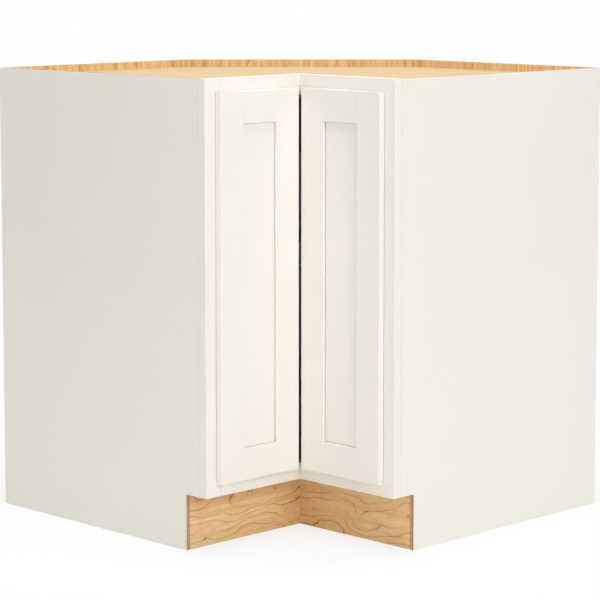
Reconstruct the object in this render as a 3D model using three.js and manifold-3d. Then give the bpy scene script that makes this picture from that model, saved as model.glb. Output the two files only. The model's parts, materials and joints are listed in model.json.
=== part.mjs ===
// Corner base cabinet with a carousel: an L-shaped front with a folding pair of shaker doors in the
// inside corner, a cut-off back corner, and two full-round trays on an upright pole.
// Millimetres, +Z up. The origin is on the floor, at the middle of the square that the cabinet
// fills. The room's corner is at -X, +Y, and the inside corner of the front looks to +X, -Y.
import * as THREE from 'three';
import { mergeVertices } from 'three/addons/utils/BufferGeometryUtils.js';
import Module from 'manifold-3d';

const wasm = await Module();
wasm.setup();

const joint = 0.3; // glue line or running gap between neighbouring pieces

// The cabinet as a whole.
const wallLength = 838.2; // what it takes along each wall
const cabinetHeight = 876.3; // floor to the rim that carries the worktop
const frameDepth = 595.3; // wall to the face of the frame
const backLeg = 340; // what the cut-off back corner takes from each wall

// Boards of the carcass.
const sideThickness = 9.5;
const backThickness = 6.4;
const shelfThickness = 12.7; // floor board and deck
const dadoDepth = 3.2; // how far floor board and deck enter the side panels
const deckInset = 15; // top of the deck below the rim
const cleatThickness = 19;
const cleatHeight = 38;
const kickThickness = 12.7;
const toeHeight = 106; // floor to the underside of the frame
const toeDepth = 55; // kick boards behind the face of the frame

// Face frame.
const frameThickness = 19;
const stileWidth = 38.1;
const topRailHeight = 38.1;
const bottomRailHeight = 31.75;
const frameEasing = 1.2; // radius of the eased front edges
const blockLength = 40; // corner blocks, along each rail
const blockThickness = 16;
const blockHeight = 18;

// Doors.
const doorThickness = 13;
const doorGap = 1.3; // back of a closed door to the face of the frame
const doorMeetGap = 3.2; // one door's face to the other door's edge, in the inside corner
const sideOverlay = 12.7; // how far a door covers the stile
const topOverlay = 14.3;
const bottomOverlay = 7.55;
const doorRailWidth = 60;
const panelRecess = 6.3; // face of a door to the face of its panel
const panelThickness = 3.6;
const grooveDepth = 6.4;
const doorEasing = 1.4;

// Concealed hinges between the left door and its stile.
const hingeInset = 90; // end of a door to the middle of its hinge
const cupInset = 20.5; // edge of the door to the middle of the cup
const cupRadius = 17.5;
const panelShare = 0.78; // what the panel shows, of the width that the least stiles would leave
const cupDepth = 11;
const cupWall = 1;
const flangeWidth = 39;
const flangeHeight = 62;
const flangeCorner = 9;
const armPlateThickness = 1.6;
const armPlateHeight = 44;
const armHeight = 16;
const armThickness = 8;
const armReach = 3.6; // tip of the arm past the face of the frame, into the cup
const armNose = 13; // width of the tip

// Fold hinges between the two doors, behind the inside corner.
const foldSetback = 3.5; // middle of the pin behind the backs of the doors
const knuckleRadius = 3.5;
const foldPinRadius = 1.5;
const foldPinHeadRadius = 2.4;
const foldPinHeadHeight = 1.5;
const leafThickness = 1.5;
const leafWidth = 30; // how far a leaf reaches over the back of its door
const foldHingeHeight = 60;

const bumperRadius = 4;
const bumperInset = 6.5; // edge of the door to the middle of a bumper
const bumperEnd = 25; // end of the door to the middle of a bumper

// Carousel.
const trayClearance = 30; // least gap from a tray to the frame and to the back corner
const trayHeights = { lower: 62, upper: 372 }; // floor board to the underside of a tray
const trayFloor = 3;
const trayWall = 2.8;
const rimHeight = 44; // underside of a tray to the top of its rim
const rimDraft = 4; // how far the rim leans out
const rimLip = 6;
const hubRadius = 24;
const hubDepth = 30; // hub below a tray
const hubRise = 8; // hub above a tray's floor
const ribCount = 12;
const ribThickness = 2.6;
const ribDepth = { hub: 18, rim: 5 };
const ringRadius = 140; // ring rib that ties the ribs together
const poleRadius = 12.7;
const poleWall = 1.6;
const pivotPlateSize = 70;
const pivotPlateThickness = 3;
const pivotPlateCorner = 8;
const pivotScrewInset = 10;
const pivotScrewRadius = 2.5;
const bossRadius = 17;
const bossHeight = 3;
const pivotPinRadius = 6;
const thrustRingRadius = 18;
const thrustRingHeight = 3;
const bushFlange = 1.5;
const bushLength = 20; // what stands inside the pole
const collarRadius = 20;
const collarHeight = 12;
const setScrewRadius = 2.5;
const setScrewLength = 6;

// Roundness of turned pieces.
const traySteps = 48;
const poleSteps = 24;
const smallSteps = 16;
const easingSteps = 3;

// Finishes.
const paint = { color: 0xf3efe2, roughness: 0.5, metalness: 0 };
const maple = { color: 0xe3c596, roughness: 0.55, metalness: 0 };
const pine = { color: 0xd9bd8d, roughness: 0.7, metalness: 0 };
const polymer = { color: 0xf0eee8, roughness: 0.4, metalness: 0 };
const nylon = { color: 0xe6e3d8, roughness: 0.5, metalness: 0 };
const zinc = { color: 0xb9bcc0, roughness: 0.35, metalness: 1 };
const clearRubber = { color: 0xd8dad8, roughness: 0.5, metalness: 0 };

// Heights and places that follow from them.
const half = wallLength / 2;
const floorTop = toeHeight + bottomRailHeight;
const floorBottom = floorTop - shelfThickness;
const deckTop = cabinetHeight - deckInset;
const deckBottom = deckTop - shelfThickness;
const frameBack = frameDepth - frameThickness;
const doorBottom = floorTop - bottomOverlay;
const doorTop = cabinetHeight - topRailHeight + topOverlay;
const doorHeight = doorTop - doorBottom;
const doorStart = doorThickness + doorGap + doorMeetGap; // inside corner to a door's edge
const doorWidth = wallLength - frameDepth - stileWidth + sideOverlay - doorStart;
const leastStile = cupInset + cupRadius + joint + grooveDepth;
const doorStileWidth = (doorWidth - (doorWidth - 2 * leastStile) * panelShare) / 2;
const hingeHeights = { lower: hingeInset, upper: doorHeight - hingeInset }; // above a door's foot

// A point of the plan, by its distances from the picture-left wall and from the picture-right wall.
function corner(fromLeftWall, fromRightWall) {
  return [fromLeftWall - half, half - fromRightWall];
}

// An outline through the given corners. A corner's third number rounds it to that radius.
function outline(corners) {
  const shape = new THREE.Shape();
  corners.forEach(([x, y, radius = 0], i) => {
    const here = new THREE.Vector2(x, y);
    const [before, after] = [corners.at(i - 1), corners[(i + 1) % corners.length]]
      .map(([nextX, nextY]) => new THREE.Vector2(nextX, nextY).sub(here).setLength(radius).add(here));
    if (i === 0) shape.moveTo(before.x, before.y);
    else shape.lineTo(before.x, before.y);
    if (radius > 0) shape.quadraticCurveTo(here.x, here.y, after.x, after.y);
  });
  return shape;
}

// A plan outline raised along Z.
function upright(shape, height) {
  const options = { depth: height, bevelEnabled: false, curveSegments: easingSteps };
  return new THREE.ExtrudeGeometry(shape, options);
}

// An outline in Y and Z carried along X.
function alongX(shape, length) {
  const turn = new THREE.Matrix4().set(0, 0, 1, 0, 1, 0, 0, 0, 0, 1, 0, 0, 0, 0, 0, 1);
  return upright(shape, length).applyMatrix4(turn);
}

function boxBetween([x0, y0, z0], [x1, y1, z1]) {
  const box = new THREE.BoxGeometry(x1 - x0, y1 - y0, z1 - z0);
  return box.translate((x0 + x1) / 2, (y0 + y1) / 2, (z0 + z1) / 2);
}

// A profile of radius and height turned about Z.
function turned(points, steps) {
  const profile = points.map(([radius, height]) => new THREE.Vector2(radius, height));
  return new THREE.LatheGeometry(profile, steps).rotateX(Math.PI / 2);
}

function ring(innerRadius, outerRadius, height, steps) {
  const section = [[innerRadius, 0], [outerRadius, 0], [outerRadius, height], [innerRadius, height]];
  return turned([...section, section[0]], steps);
}

function rod(radius, length, steps) {
  return turned([[0, 0], [radius, 0], [radius, length], [0, length]], steps);
}

// Shared corners only, which joining and cutting need.
function welded(geometry) {
  const bare = geometry.clone();
  bare.deleteAttribute('normal');
  bare.deleteAttribute('uv');
  return mergeVertices(bare);
}

function solid(geometry) {
  const { attributes, index } = welded(geometry);
  const triVerts = new Uint32Array(index.array);
  const vertProperties = attributes.position.array;
  return new wasm.Manifold(new wasm.Mesh({ numProp: 3, vertProperties, triVerts }));
}

function geometryOf(body) {
  const { vertProperties, triVerts } = body.getMesh();
  const geometry = new THREE.BufferGeometry();
  geometry.setAttribute('position', new THREE.BufferAttribute(vertProperties, 3));
  geometry.setIndex(new THREE.BufferAttribute(triVerts, 1));
  geometry.computeVertexNormals();
  return geometry;
}

function joined(first, ...rest) {
  return geometryOf(rest.reduce((body, part) => body.add(solid(part)), solid(first)));
}

function cut(first, ...rest) {
  return geometryOf(rest.reduce((body, part) => body.subtract(solid(part)), solid(first)));
}

// The picture-left twin of a piece: its mirror image in the upright plane through the inside corner.
function mirrored(geometry) {
  const flip = new THREE.Matrix4().set(0, -1, 0, 0, -1, 0, 0, 0, 0, 0, 1, 0, 0, 0, 0, 1);
  const twin = welded(geometry).applyMatrix4(flip);
  twin.index.array.reverse();
  twin.computeVertexNormals();
  return twin;
}

function add(group, name, geometry, finish, [x, y, z] = [0, 0, 0]) {
  const mesh = new THREE.Mesh(geometry, new THREE.MeshStandardMaterial(finish));
  mesh.name = name;
  mesh.position.set(x, y, z);
  group.add(mesh);
}

function addLeft(group, name, geometry, finish, [x, y, z] = [0, 0, 0]) {
  add(group, name, mirrored(geometry), finish, [-y, -x, z]);
}

function addPair(groups, name, geometry, finish, place) {
  add(groups.right, `${name}_right`, geometry, finish, place);
  addLeft(groups.left, `${name}_left`, geometry, finish, place);
}

const cabinet = new THREE.Group();
const carcass = new THREE.Group();
const faceFrame = new THREE.Group();
const doors = { right: new THREE.Group(), left: new THREE.Group() };
const carousel = new THREE.Group();
cabinet.add(carcass, faceFrame, doors.right, doors.left, carousel);
const bothSides = (group) => ({ right: group, left: group });

// Side panel: a toe notch at the front foot, and a dado each for floor board and deck.
function sidePanel() {
  const front = half - frameBack + joint;
  const notch = half - frameDepth + toeDepth;
  const profile = outline([
    [half, 0], [half, cabinetHeight], [front, cabinetHeight],
    [front, toeHeight], [notch, toeHeight], [notch, 0],
  ]);
  const dado = (bottom) => boxBetween(
    [-joint, front - joint, bottom - joint],
    [dadoDepth, half + joint, bottom + shelfThickness + joint],
  );
  return cut(alongX(profile, sideThickness), dado(floorBottom), dado(deckBottom));
}

// Where the 135 degree mitre of the back corner crosses a board's face, at a distance from the wall.
const backMitre = (distance) => backLeg + distance * Math.tan(Math.PI / 8);

// A board along the right wall, with faces at two distances from it, from the mitre to the side panel.
function wallBoard(near, far, height) {
  const end = wallLength - sideThickness - joint;
  return upright(outline([
    corner(backMitre(near) + joint, near), corner(end, near),
    corner(end, far), corner(backMitre(far) + joint, far),
  ]), height);
}

// The board across the cut-off corner between two such boards.
function cornerBoard(near, far, height) {
  return upright(outline([
    corner(backMitre(near), near), corner(backMitre(far), far),
    corner(far, backMitre(far)), corner(near, backMitre(near)),
  ]), height);
}

// A board of the front along the right wing, mitred into its twin in the inside corner.
function frontBoard(face, thickness, end, height) {
  const mitreGap = joint / Math.SQRT2;
  const back = face - thickness;
  return upright(outline([
    corner(face + mitreGap, face), corner(end, face), corner(end, back), corner(back + mitreGap, back),
  ]), height);
}

// Floor board and deck share one outline.
function shelf() {
  const wall = backThickness + joint;
  const side = wallLength - sideThickness + dadoDepth - joint;
  const front = frameBack - joint;
  return upright(outline([
    corner(backMitre(wall), wall), corner(side, wall), corner(side, front), corner(front, front),
    corner(front, side), corner(wall, side), corner(wall, backMitre(wall)),
  ]), shelfThickness);
}

// An L-shaped block glued behind the inside corner of two rails.
function cornerBlock() {
  const face = frameBack - joint;
  const back = face - blockThickness;
  const end = face + blockLength;
  return upright(outline([
    corner(face, face), corner(face, end), corner(back, end),
    corner(back, back), corner(end, back), corner(end, face),
  ]), blockHeight);
}

function buildCarcass() {
  const pair = bothSides(carcass);
  addPair(pair, 'side_panel', sidePanel(), paint, [half - sideThickness, 0, 0]);
  addPair(pair, 'back_panel', wallBoard(0, backThickness, cabinetHeight), maple);
  add(carcass, 'back_panel_corner', cornerBoard(0, backThickness, cabinetHeight), maple);
  add(carcass, 'bottom_panel', shelf(), maple, [0, 0, floorBottom]);
  add(carcass, 'top_panel', shelf(), maple, [0, 0, deckBottom]);

  const near = backThickness + joint;
  const far = near + cleatThickness;
  for (const [name, top] of Object.entries({ floor_cleat: floorBottom, deck_cleat: deckBottom })) {
    const place = [0, 0, top - joint - cleatHeight];
    addPair(pair, name, wallBoard(near, far, cleatHeight), pine, place);
    add(carcass, `${name}_corner`, cornerBoard(near, far, cleatHeight), pine, place);
  }

  const kickEnd = wallLength - sideThickness - joint;
  const kick = frontBoard(frameDepth - toeDepth, kickThickness, kickEnd, floorBottom - joint);
  addPair(pair, 'kick_board', kick, maple);
}

function buildFaceFrame() {
  const pair = bothSides(faceFrame);
  const stileEdge = wallLength - stileWidth;
  const stile = outline([
    [...corner(stileEdge, frameDepth), frameEasing], [...corner(wallLength, frameDepth), frameEasing],
    corner(wallLength, frameBack), corner(stileEdge, frameBack),
  ]);
  addPair(pair, 'stile', upright(stile, cabinetHeight - toeHeight), paint, [0, 0, toeHeight]);

  const railEnd = stileEdge - joint;
  const topRail = frontBoard(frameDepth, frameThickness, railEnd, topRailHeight);
  const bottomRail = frontBoard(frameDepth, frameThickness, railEnd, bottomRailHeight);
  addPair(pair, 'top_rail', topRail, paint, [0, 0, cabinetHeight - topRailHeight]);
  addPair(pair, 'bottom_rail', bottomRail, paint, [0, 0, toeHeight]);
  add(faceFrame, 'corner_block_top', cornerBlock(), pine, [0, 0, deckBottom - joint - blockHeight]);
  add(faceFrame, 'corner_block_bottom', cornerBlock(), pine, [0, 0, floorBottom - joint - blockHeight]);
}

// A door's own frame: X from its edge in the inside corner, Y from its back towards the wall that it
// faces away from, Z from its foot. The panel's groove lies between these two depths.
const grooveFront = panelRecess - joint - doorThickness;
const grooveBack = grooveFront + panelThickness + 2 * joint;

// A stile of a door; across(distance) is the X of a point by its distance from the stile's outer edge.
function doorStile(across) {
  const inner = doorStileWidth;
  const grooveFloor = inner - grooveDepth;
  return upright(outline([
    [across(0), 0], [across(inner), 0], [across(inner), grooveBack], [across(grooveFloor), grooveBack],
    [across(grooveFloor), grooveFront], [across(inner), grooveFront],
    [across(inner), -doorThickness, doorEasing / 2], [across(0), -doorThickness, doorEasing],
  ]), doorHeight);
}

// A rail of a door with a stub tenon at each end; up(distance) is the Z of a point by its distance
// from the rail's outer edge.
function doorRail(up) {
  const inner = doorRailWidth;
  const grooveFloor = inner - grooveDepth;
  const length = doorWidth - 2 * (doorStileWidth + joint);
  const section = outline([
    [0, up(0)], [0, up(inner)], [grooveBack, up(inner)], [grooveBack, up(grooveFloor)],
    [grooveFront, up(grooveFloor)], [grooveFront, up(inner)],
    [-doorThickness, up(inner), doorEasing / 2], [-doorThickness, up(0), doorEasing],
  ]);
  const [low, high] = [up(0), up(grooveFloor)].sort((a, b) => a - b);
  const tenon = boxBetween(
    [-grooveDepth, grooveFront + joint, low],
    [length + grooveDepth, grooveBack - joint, high],
  );
  return joined(alongX(section, length), tenon);
}

function doorPanel() {
  const reach = grooveDepth - joint;
  return boxBetween(
    [doorStileWidth - reach, grooveFront + joint, doorRailWidth - reach],
    [doorWidth - doorStileWidth + reach, grooveBack - joint, doorHeight - doorRailWidth + reach],
  );
}

// Turned pieces that enter a door's back: their axis runs into the door from the back's plane.
const intoDoor = (geometry, x, z) => geometry.rotateX(Math.PI / 2).translate(x, 0, z);
const cupX = doorWidth - cupInset;

function hingeCup() {
  const flangeThickness = doorGap - 2 * joint;
  const mouth = -joint - flangeThickness;
  const bore = cupRadius - cupWall;
  const cup = turned([
    [0, cupDepth - cupWall], [bore, cupDepth - cupWall], [bore, mouth], [cupRadius, mouth],
    [cupRadius, cupDepth], [0, cupDepth],
  ], poleSteps);
  const [x, y] = [flangeWidth / 2, flangeHeight / 2];
  const flange = outline([[-x, -y], [x, -y], [x, y], [-x, y]].map((point) => [...point, flangeCorner]));
  const plate = upright(flange, flangeThickness).translate(0, 0, mouth);
  const hollow = rod(bore, cupDepth - cupWall - mouth, poleSteps).translate(0, 0, mouth);
  return cut(joined(cup, plate), hollow);
}

// What holds a cup: a plate on the stile's edge, and an arm whose nose enters the cup.
function hingeArm() {
  const edge = wallLength - stileWidth - joint;
  const cupMiddle = wallLength - stileWidth + sideOverlay - cupInset;
  const [front, back] = [frameDepth - joint, frameDepth - armThickness];
  const tip = frameDepth + armReach;
  const [near, far] = [cupMiddle + armNose / 2, cupMiddle - armNose / 2];
  const arm = outline([
    corner(edge, back), corner(far, back), [...corner(far, tip), armReach / 2],
    [...corner(near, tip), armReach / 2], corner(near, front), corner(edge, front),
  ]);
  const plate = outline([
    corner(edge, frameBack), corner(edge, front), corner(edge - armPlateThickness, front),
    corner(edge - armPlateThickness, frameBack),
  ]);
  return joined(
    upright(arm, armHeight).translate(0, 0, -armHeight / 2),
    upright(plate, armPlateHeight).translate(0, 0, -armPlateHeight / 2),
  );
}

// The pin of the fold hinges, in the right door's own frame; it lies on the cabinet's diagonal.
const foldX = doorGap - foldSetback - doorStart;

// A leaf on a door's back with a knuckle round the pin at each of the named thirds of its height.
function foldLeaf(thirds) {
  const third = foldHingeHeight / 3;
  const plateStart = foldX + knuckleRadius + 2 * joint;
  const leafFace = joint + leafThickness;
  const plate = boxBetween([plateStart, joint, 0], [leafWidth, leafFace, foldHingeHeight]);
  const wraps = thirds.flatMap((number) => {
    const low = number * third + joint / 2;
    const high = low + third - joint;
    return [
      boxBetween([foldX, joint, low], [plateStart + joint, leafFace, high]),
      rod(knuckleRadius, high - low, smallSteps).translate(foldX, foldSetback, low),
    ];
  });
  const pinHole = rod(foldPinRadius + joint, foldHingeHeight, smallSteps).translate(foldX, foldSetback, 0);
  return cut(joined(plate, ...wraps), pinHole);
}

function foldPin() {
  const [low, high] = [-joint, foldHingeHeight + joint];
  const [foot, top] = [low - foldPinHeadHeight, high + foldPinHeadHeight];
  return turned([
    [0, foot], [foldPinHeadRadius, foot], [foldPinHeadRadius, low], [foldPinRadius, low],
    [foldPinRadius, high], [foldPinHeadRadius, high], [foldPinHeadRadius, top], [0, top],
  ], smallSteps);
}

function buildDoors() {
  doors.right.position.set(...corner(frameDepth + doorStart, frameDepth + doorGap), doorBottom);
  doors.left.position.set(-doors.right.position.y, -doors.right.position.x, doorBottom);

  const fromCorner = (distance) => distance;
  const fromFarEdge = (distance) => doorWidth - distance;
  const fromTop = (distance) => doorRailWidth - distance;
  const railPlace = [doorStileWidth + joint, 0, 0];
  addPair(doors, 'door_inner_stile', doorStile(fromCorner), paint);
  addPair(doors, 'door_bottom_rail', doorRail(fromCorner), paint, railPlace);
  addPair(doors, 'door_top_rail', doorRail(fromTop), paint, [railPlace[0], 0, doorHeight - doorRailWidth]);
  addPair(doors, 'door_panel', doorPanel(), paint);

  const outerStile = doorStile(fromFarEdge);
  const bores = Object.values(hingeHeights)
    .map((height) => intoDoor(rod(cupRadius + joint, cupDepth + joint, poleSteps), cupX, height));
  add(doors.right, 'door_outer_stile_right', outerStile, paint);
  addLeft(doors.left, 'door_outer_stile_left', cut(outerStile, ...bores), paint);

  for (const [level, height] of Object.entries(hingeHeights)) {
    addLeft(doors.left, `hinge_cup_${level}`, intoDoor(hingeCup(), 0, 0), zinc, [cupX, 0, height]);
    addLeft(faceFrame, `hinge_arm_${level}`, hingeArm(), zinc, [0, 0, doorBottom + height]);

    const foot = height - foldHingeHeight / 2;
    add(doors.right, `fold_leaf_right_${level}`, foldLeaf([0, 2]), zinc, [0, 0, foot]);
    addLeft(doors.left, `fold_leaf_left_${level}`, foldLeaf([1]), zinc, [0, 0, foot]);
    addLeft(doors.left, `fold_pin_${level}`, foldPin(), zinc, [foldX, foldSetback, foot]);
  }

  for (const [level, height] of Object.entries({ lower: bumperEnd, upper: doorHeight - bumperEnd })) {
    const bumper = rod(bumperRadius, doorGap - 2 * joint, smallSteps).rotateX(-Math.PI / 2);
    add(doors.right, `bumper_${level}`, bumper, clearRubber, [doorWidth - bumperInset, joint, height]);
  }
}

// The pole stands midway on the diagonal between the corner panel and the frame's inside corner.
const cornerPanelFace = backLeg / Math.SQRT2 + backThickness;
const frameCornerReach = frameBack * Math.SQRT2;
const poleInset = (cornerPanelFace + frameCornerReach) / 2 / Math.SQRT2;
const trayRadius = (frameCornerReach - cornerPanelFace) / 2 - trayClearance;

// A moulded tray: hub, floor and leaning rim with a rolled lip in one profile, and ribs below.
function tray() {
  const bore = poleRadius + joint;
  const rimTop = trayRadius - rimLip;
  const rimFoot = rimTop - rimDraft;
  const fillet = 2 * trayFloor;
  const lipBottom = rimHeight - rimLip;
  const filletTop = rimFoot + rimDraft * fillet / lipBottom;
  const hubTop = trayFloor + hubRise;
  const [ringIn, ringOut] = [ringRadius - ribThickness / 2, ringRadius + ribThickness / 2];
  const ringDepth = (ribDepth.hub + ribDepth.rim) / 2;
  const profile = new THREE.Path().moveTo(bore, -hubDepth);
  profile.lineTo(hubRadius - trayFloor / 2, -hubDepth).lineTo(hubRadius, 0);
  profile.lineTo(ringIn, 0).lineTo(ringIn, -ringDepth).lineTo(ringOut, -ringDepth).lineTo(ringOut, 0);
  profile.lineTo(rimFoot - fillet, 0).quadraticCurveTo(rimFoot, 0, filletTop, fillet);
  profile.lineTo(rimTop, lipBottom).lineTo(trayRadius, lipBottom);
  profile.lineTo(trayRadius, rimHeight - trayWall);
  profile.quadraticCurveTo(trayRadius, rimHeight, trayRadius - trayWall, rimHeight);
  profile.lineTo(rimTop - trayWall / 2, rimHeight);
  profile.quadraticCurveTo(rimTop - trayWall, rimHeight, rimTop - trayWall, lipBottom);
  profile.lineTo(rimFoot - trayWall, trayFloor + fillet);
  profile.quadraticCurveTo(rimFoot - trayWall, trayFloor, rimFoot - trayWall - fillet, trayFloor);
  profile.lineTo(hubRadius + fillet, trayFloor).quadraticCurveTo(hubRadius, trayFloor, hubRadius, hubTop);
  profile.lineTo(bore, hubTop).closePath();
  const body = new THREE.LatheGeometry(profile.getPoints(easingSteps), traySteps).rotateX(Math.PI / 2);

  const [ribStart, ribEnd] = [hubRadius - trayFloor, rimFoot - fillet];
  const ribOutline = outline([
    [ribStart, trayFloor / 2], [ribStart, -ribDepth.hub], [ribEnd, -ribDepth.rim], [ribEnd, trayFloor / 2],
  ]);
  const ribs = Array.from({ length: ribCount }, (_, i) => upright(ribOutline, ribThickness)
    .rotateX(Math.PI / 2)
    .translate(0, ribThickness / 2, 0)
    .rotateZ((i + 0.5) * 2 * Math.PI / ribCount));
  return joined(body, ...ribs);
}

// What a pin stands on: a screwed plate, a boss and the pin.
const pinHeight = pivotPlateThickness + bossHeight + thrustRingHeight + 2 * joint + bushFlange + bushLength;

function pivotPlate() {
  const edge = pivotPlateSize / 2;
  const screw = edge - pivotScrewInset;
  const quarters = [[-1, -1], [1, -1], [1, 1], [-1, 1]];
  const shape = outline(quarters.map(([x, y]) => [x * edge, y * edge, pivotPlateCorner]));
  const hole = (x, y) => new THREE.Path().absarc(x, y, pivotScrewRadius, 0, 2 * Math.PI);
  shape.holes = quarters.map(([x, y]) => hole(x * screw, y * screw));
  const bossTop = pivotPlateThickness + bossHeight;
  const pin = turned([
    [0, 0], [bossRadius, 0], [bossRadius, bossTop],
    [pivotPinRadius, bossTop], [pivotPinRadius, pinHeight], [0, pinHeight],
  ], poleSteps);
  return joined(upright(shape, pivotPlateThickness), pin);
}

function bush() {
  const bore = pivotPinRadius + joint;
  const spigot = poleRadius - poleWall - joint;
  const top = bushFlange + bushLength;
  return turned([
    [bore, 0], [poleRadius, 0], [poleRadius, bushFlange], [spigot, bushFlange],
    [spigot, top], [bore, top], [bore, 0],
  ], poleSteps);
}

// A clamp collar below a hub, with a hole for its set screw along X.
function collar() {
  const screwHole = rod(setScrewRadius + joint, 2 * collarRadius, smallSteps)
    .rotateY(Math.PI / 2).translate(0, 0, collarHeight / 2);
  return cut(ring(poleRadius + joint, collarRadius, collarHeight, poleSteps), screwHole);
}

function setScrew() {
  const socketDepth = setScrewLength / 3;
  const socket = rod(setScrewRadius / 2, 2 * socketDepth, 6).translate(0, 0, setScrewLength - socketDepth);
  return cut(rod(setScrewRadius, setScrewLength, smallSteps), socket).rotateY(Math.PI / 2);
}

function buildCarousel() {
  carousel.position.set(...corner(poleInset, poleInset), 0);
  const plateFoot = floorTop + joint;
  const thrustFoot = plateFoot + pivotPlateThickness + bossHeight + joint;
  const lowerBushFoot = thrustFoot + thrustRingHeight + joint;
  const poleFoot = lowerBushFoot + bushFlange + joint;
  const plateHead = deckBottom - joint;
  const upperBushHead = plateHead - pivotPlateThickness - bossHeight - joint;
  const poleHead = upperBushHead - bushFlange - joint;

  const thrustRing = ring(pivotPinRadius + 2 * joint, thrustRingRadius, thrustRingHeight, poleSteps);
  const pole = ring(poleRadius - poleWall, poleRadius, poleHead - poleFoot, poleSteps);
  add(carousel, 'pivot_base', pivotPlate(), zinc, [0, 0, plateFoot]);
  add(carousel, 'pivot_top_plate', pivotPlate().rotateX(Math.PI), zinc, [0, 0, plateHead]);
  add(carousel, 'thrust_ring', thrustRing, nylon, [0, 0, thrustFoot]);
  add(carousel, 'pole_bush_lower', bush(), nylon, [0, 0, lowerBushFoot]);
  add(carousel, 'pole_bush_upper', bush().rotateX(Math.PI), nylon, [0, 0, upperBushHead]);
  add(carousel, 'pole', pole, zinc, [0, 0, poleFoot]);

  for (const [level, height] of Object.entries(trayHeights)) {
    const trayFoot = floorTop + height;
    const collarFoot = trayFoot - hubDepth - joint - collarHeight;
    add(carousel, `tray_${level}`, tray(), polymer, [0, 0, trayFoot]);
    add(carousel, `collar_${level}`, collar(), zinc, [0, 0, collarFoot]);
    const screwPlace = [poleRadius + joint, 0, collarFoot + collarHeight / 2];
    add(carousel, `set_screw_${level}`, setScrew(), zinc, screwPlace);
  }
}

buildCarcass();
buildFaceFrame();
buildDoors();
buildCarousel();

export default cabinet;
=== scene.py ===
import math

import bmesh
import bpy
import numpy as np
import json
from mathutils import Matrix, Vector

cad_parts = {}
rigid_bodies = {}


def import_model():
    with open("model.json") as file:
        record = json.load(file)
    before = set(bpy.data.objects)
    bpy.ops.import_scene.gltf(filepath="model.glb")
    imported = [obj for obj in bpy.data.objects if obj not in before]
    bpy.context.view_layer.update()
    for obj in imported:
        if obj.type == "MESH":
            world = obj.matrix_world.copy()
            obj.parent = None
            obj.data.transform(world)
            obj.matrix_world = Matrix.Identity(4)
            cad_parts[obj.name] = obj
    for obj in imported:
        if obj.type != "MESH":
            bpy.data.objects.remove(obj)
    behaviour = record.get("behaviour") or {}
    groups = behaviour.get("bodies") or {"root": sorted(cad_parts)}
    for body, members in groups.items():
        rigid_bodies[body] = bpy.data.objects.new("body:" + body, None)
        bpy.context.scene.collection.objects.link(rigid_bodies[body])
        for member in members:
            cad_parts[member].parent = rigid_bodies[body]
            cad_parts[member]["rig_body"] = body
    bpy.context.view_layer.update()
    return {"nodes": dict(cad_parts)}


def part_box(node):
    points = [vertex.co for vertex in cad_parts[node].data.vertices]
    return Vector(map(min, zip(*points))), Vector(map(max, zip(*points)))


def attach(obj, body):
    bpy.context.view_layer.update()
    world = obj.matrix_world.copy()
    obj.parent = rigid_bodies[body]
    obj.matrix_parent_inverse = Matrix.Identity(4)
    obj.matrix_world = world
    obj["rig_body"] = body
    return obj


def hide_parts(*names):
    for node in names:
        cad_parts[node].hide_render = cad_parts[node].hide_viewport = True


mm = 0.001
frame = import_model()
print("frame loaded with", len(frame["nodes"]), "nodes")

camera = {
    "distance": 4719.7,  # mm, level, from the middle of the cabinet along the inside corner's diagonal
    "height": 1110.7,
    "pitch": 6.396,  # degrees down
    "lens": 143.4,
    "sensor": 36.0,
    "shiftY": -0.14,  # keeps the uprights nearly upright, as the photo does
}


def makeCamera():
    data = bpy.data.cameras.new("camera")
    data.lens = camera["lens"]
    data.sensor_width = camera["sensor"]
    data.shift_y = camera["shiftY"]
    seen = bpy.data.objects.new("camera", data)
    bpy.context.scene.collection.objects.link(seen)
    away = camera["distance"] / math.sqrt(2) * mm
    seen.location = (away, -away, camera["height"] * mm)
    seen.rotation_euler = (math.radians(90 - camera["pitch"]), 0, math.radians(45))
    bpy.context.scene.camera = seen


makeCamera()
print("camera placed")


# A linear colour from its sRGB hex.
def linear(code):
    value = np.array([int(code[i:i + 2], 16) for i in (0, 2, 4)]) / 255
    value = np.where(value <= 0.04045, value / 12.92, ((value + 0.055) / 1.055) ** 2.4)
    return (*value.tolist(), 1.0)


# One node with its settings; inputs are values, or the sockets that feed it.
def addNode(tree, kind, inputs=(), **settings):
    made = tree.nodes.new("ShaderNode" + kind)
    for name, value in settings.items():
        setattr(made, name, value)
    for socket, value in dict(inputs).items():
        if isinstance(value, bpy.types.NodeSocket):
            tree.links.new(value, made.inputs[socket])
        else:
            made.inputs[socket].default_value = value
    return made


# The result of one sum on values or sockets.
def calculate(tree, operation, *inputs):
    return addNode(tree, "Math", dict(enumerate(inputs)), operation=operation).outputs[0]


# A value of 0 to 1 brought into the given range.
def toRange(tree, value, low, high):
    return addNode(tree, "MapRange", {"Value": value, "To Min": low, "To Max": high}).outputs[0]


# A grey that follows the given stops of place and level.
def toRamp(tree, value, stops):
    ramp = addNode(tree, "ValToRGB", {"Fac": value})
    elements = ramp.color_ramp.elements
    while len(elements) < len(stops):
        elements.new(0.5)
    for element, (place, level) in zip(elements, stops):
        element.position = place
        element.color = (level, level, level, 1)
    return ramp.outputs["Color"]


def mixValues(tree, share, first, second):
    return addNode(tree, "Mix", {"Factor": share, "A": first, "B": second}).outputs[0]


def mixColours(tree, share, first, second, blend="MIX"):
    inputs = {"Factor": share, "A": first, "B": second}
    return addNode(tree, "Mix", inputs, data_type="RGBA", blend_type=blend).outputs["Result"]


# Relief from a height, so many mm deep.
def toBump(tree, height, strength, depth=0.1):
    inputs = {"Strength": strength, "Distance": depth * mm, "Height": height}
    return addNode(tree, "Bump", inputs).outputs[0]


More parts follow.
